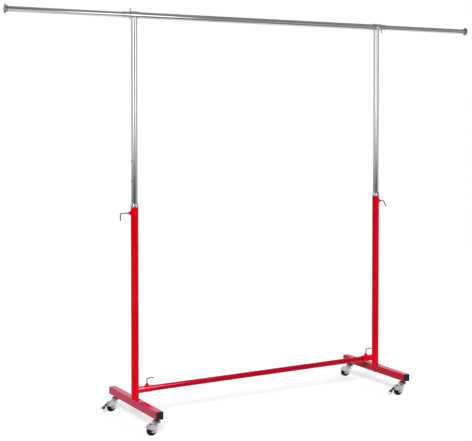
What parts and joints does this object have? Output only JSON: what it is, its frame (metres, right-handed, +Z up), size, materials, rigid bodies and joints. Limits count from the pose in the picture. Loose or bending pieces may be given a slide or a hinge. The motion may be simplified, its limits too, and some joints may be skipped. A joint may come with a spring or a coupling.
{
  "type": "garment rack",
  "caption": "Rolling garment rack: red tubular base on swivel casters, height-adjustable chrome posts, and a chrome hangrail with a pull-out arm at each end.",
  "frame": {"origin": "on the floor, midway between the two uprights", "axes": "+X along the hangrail towards the right-hand end, +Y towards the rear along the feet, +Z up"},
  "size_m": [2.8006, 0.5654, 2.0541],
  "materials": {
    "red_enamel": "glossy red enamel over steel tube",
    "chrome_plate": "bright chrome plating",
    "dark_zinc": "dull zinc plating",
    "black_plastic": "black moulded plastic",
    "hub_plastic": "black moulded nylon",
    "tyre_rubber": "soft black tread"
  },
  "bodies": {
    "base": {"left_foot": "red_enamel", "left_front_foot_cap": "black_plastic", "left_rear_foot_cap": "black_plastic", "left_foot_bolt": "dark_zinc", "left_locating_pin": "red_enamel", "left_upright": "red_enamel", "left_collar": "chrome_plate", "left_crossbar_stub": "red_enamel", "left_front_caster_stem": "dark_zinc", "left_rear_caster_stem": "dark_zinc", "right_foot": "red_enamel", "right_front_foot_cap": "black_plastic", "right_rear_foot_cap": "black_plastic", "right_foot_bolt": "dark_zinc", "right_locating_pin": "red_enamel", "right_upright": "red_enamel", "right_collar": "chrome_plate", "right_crossbar_stub": "red_enamel", "right_front_caster_stem": "dark_zinc", "right_rear_caster_stem": "dark_zinc", "crossbar": "red_enamel"},
    "sliding_frame": {"left_post": "chrome_plate", "right_post": "chrome_plate", "left_post_bush": "black_plastic", "right_post_bush": "black_plastic", "left_tee": "chrome_plate", "right_tee": "chrome_plate", "hangrail": "chrome_plate"},
    "left_extension_arm": {"left_extension": "chrome_plate", "left_extension_cap": "chrome_plate"},
    "left_height_clamp": {"left_height_screw": "chrome_plate"},
    "left_crossbar_clamp": {"left_crossbar_screw": "chrome_plate"},
    "left_rail_clamp": {"left_rail_screw": "chrome_plate"},
    "right_extension_arm": {"right_extension": "chrome_plate", "right_extension_cap": "chrome_plate"},
    "right_height_clamp": {"right_height_screw": "chrome_plate"},
    "right_crossbar_clamp": {"right_crossbar_screw": "chrome_plate"},
    "right_rail_clamp": {"right_rail_screw": "chrome_plate"},
    "left_front_swivel": {"left_front_caster_fork": "chrome_plate", "left_front_caster_cap": "chrome_plate", "left_front_caster_axle": "dark_zinc"},
    "left_front_wheel": {"left_front_caster_hub": "hub_plastic", "left_front_caster_tyre": "tyre_rubber"},
    "left_rear_swivel": {"left_rear_caster_fork": "chrome_plate", "left_rear_caster_cap": "chrome_plate", "left_rear_caster_axle": "dark_zinc"},
    "left_rear_wheel": {"left_rear_caster_hub": "hub_plastic", "left_rear_caster_tyre": "tyre_rubber"},
    "left_rear_pedal": {"left_rear_brake_pedal": "chrome_plate"},
    "right_front_swivel": {"right_front_caster_fork": "chrome_plate", "right_front_caster_cap": "chrome_plate", "right_front_caster_axle": "dark_zinc"},
    "right_front_wheel": {"right_front_caster_hub": "hub_plastic", "right_front_caster_tyre": "tyre_rubber"},
    "right_front_pedal": {"right_front_brake_pedal": "chrome_plate"},
    "right_rear_swivel": {"right_rear_caster_fork": "chrome_plate", "right_rear_caster_cap": "chrome_plate", "right_rear_caster_axle": "dark_zinc"},
    "right_rear_wheel": {"right_rear_caster_hub": "hub_plastic", "right_rear_caster_tyre": "tyre_rubber"}
  },
  "joints": [
    {"name": "height_slide", "type": "slide", "parent": "base", "child": "sliding_frame", "axis": [0, 0, 1], "range_m": [-0.775, 0.08]},
    {"name": "left_extension_slide", "type": "slide", "parent": "sliding_frame", "child": "left_extension_arm", "axis": [-1, 0, 0], "range_m": [-0.575, 0.04]},
    {"name": "left_height_screw_turn", "type": "hinge", "parent": "base", "child": "left_height_clamp", "pos_m": [-0.743, 0, 1.0423], "axis": [-1, 0, 0], "range_deg": [0, 360]},
    {"name": "left_crossbar_screw_turn", "type": "hinge", "parent": "base", "child": "left_crossbar_clamp", "pos_m": [-0.678, 0, 0.1579], "axis": [0, 0, 1], "range_deg": [0, 360]},
    {"name": "left_rail_screw_turn", "type": "hinge", "parent": "sliding_frame", "child": "left_rail_clamp", "pos_m": [-0.743, 0, 2.0171], "axis": [0, 1, 0], "range_deg": [0, 360]},
    {"name": "right_extension_slide", "type": "slide", "parent": "sliding_frame", "child": "right_extension_arm", "axis": [1, 0, 0], "range_m": [-0.575, 0.04]},
    {"name": "right_height_screw_turn", "type": "hinge", "parent": "base", "child": "right_height_clamp", "pos_m": [0.743, 0, 1.0423], "axis": [1, 0, 0], "range_deg": [0, 360]},
    {"name": "right_crossbar_screw_turn", "type": "hinge", "parent": "base", "child": "right_crossbar_clamp", "pos_m": [0.678, 0, 0.1579], "axis": [0, 0, 1], "range_deg": [0, 360]},
    {"name": "right_rail_screw_turn", "type": "hinge", "parent": "sliding_frame", "child": "right_rail_clamp", "pos_m": [0.743, 0, 2.0171], "axis": [0, -1, 0], "range_deg": [0, 360]},
    {"name": "left_front_swivel_turn", "type": "hinge", "parent": "base", "child": "left_front_swivel", "pos_m": [-0.743, -0.2434, 0], "axis": [0, 0, 1], "continuous": true},
    {"name": "left_front_wheel_spin", "type": "hinge", "parent": "left_front_swivel", "child": "left_front_wheel", "pos_m": [-0.7699, -0.24575, 0.025], "axis": [-0.0872, 0.9962, 0], "continuous": true},
    {"name": "left_rear_swivel_turn", "type": "hinge", "parent": "base", "child": "left_rear_swivel", "pos_m": [-0.743, 0.2434, 0], "axis": [0, 0, 1], "continuous": true},
    {"name": "left_rear_wheel_spin", "type": "hinge", "parent": "left_rear_swivel", "child": "left_rear_wheel", "pos_m": [-0.76941, 0.23779, 0.025], "axis": [-0.2079, 0.9781, 0], "continuous": true},
    {"name": "left_rear_pedal_press", "type": "hinge", "parent": "left_rear_swivel", "child": "left_rear_pedal", "pos_m": [-0.79582, 0.23217, 0.0375], "axis": [0.2079, -0.9781, 0], "range_deg": [0, 12]},
    {"name": "right_front_swivel_turn", "type": "hinge", "parent": "base", "child": "right_front_swivel", "pos_m": [0.743, -0.2434, 0], "axis": [0, 0, 1], "continuous": true},
    {"name": "right_front_wheel_spin", "type": "hinge", "parent": "right_front_swivel", "child": "right_front_wheel", "pos_m": [0.71604, -0.24199, 0.025], "axis": [0.0523, 0.9986, 0], "continuous": true},
    {"name": "right_front_pedal_press", "type": "hinge", "parent": "right_front_swivel", "child": "right_front_pedal", "pos_m": [0.68907, -0.24057, 0.0375], "axis": [-0.0523, -0.9986, 0], "range_deg": [0, 12]},
    {"name": "right_rear_swivel_turn", "type": "hinge", "parent": "base", "child": "right_rear_swivel", "pos_m": [0.743, 0.2434, 0], "axis": [0, 0, 1], "continuous": true},
    {"name": "right_rear_wheel_spin", "type": "hinge", "parent": "right_rear_swivel", "child": "right_rear_wheel", "pos_m": [0.71763, 0.25263, 0.025], "axis": [0.342, 0.9397, 0], "continuous": true}
  ]
}
